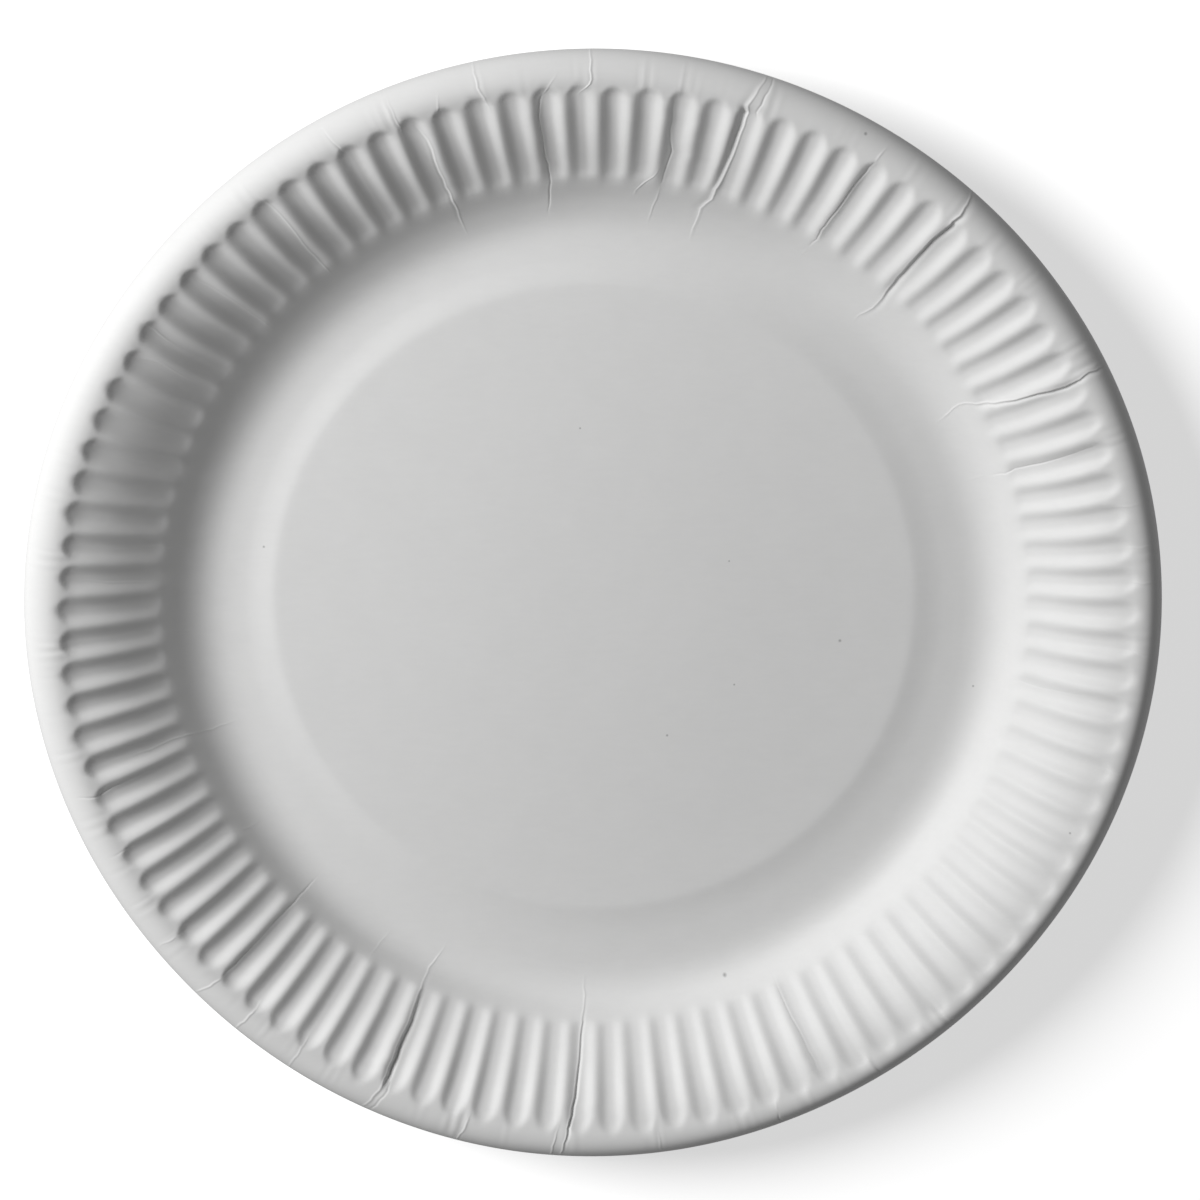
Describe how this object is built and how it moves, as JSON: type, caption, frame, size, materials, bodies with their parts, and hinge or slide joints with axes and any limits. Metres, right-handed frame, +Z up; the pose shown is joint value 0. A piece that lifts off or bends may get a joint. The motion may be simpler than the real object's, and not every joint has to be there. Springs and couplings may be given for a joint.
{
  "type": "paper plate",
  "caption": "Round white pressed paperboard plate with a flat raised centre, a shallow ring, a fluted sloping rim and a rolled lip.",
  "frame": {"origin": "centre of the plate on the surface that it stands on", "axes": "+Z up through the middle of the plate, out of its eating side; +X and +Y lie in the table, and the plate is the same at every flute pitch"},
  "size_m": [0.23, 0.23, 0.02],
  "materials": {
    "paperboard": "white pressed paperboard with a thin satin coating on the eating side"
  },
  "bodies": {
    "root": {"plate": "paperboard"}
  },
  "joints": []
}
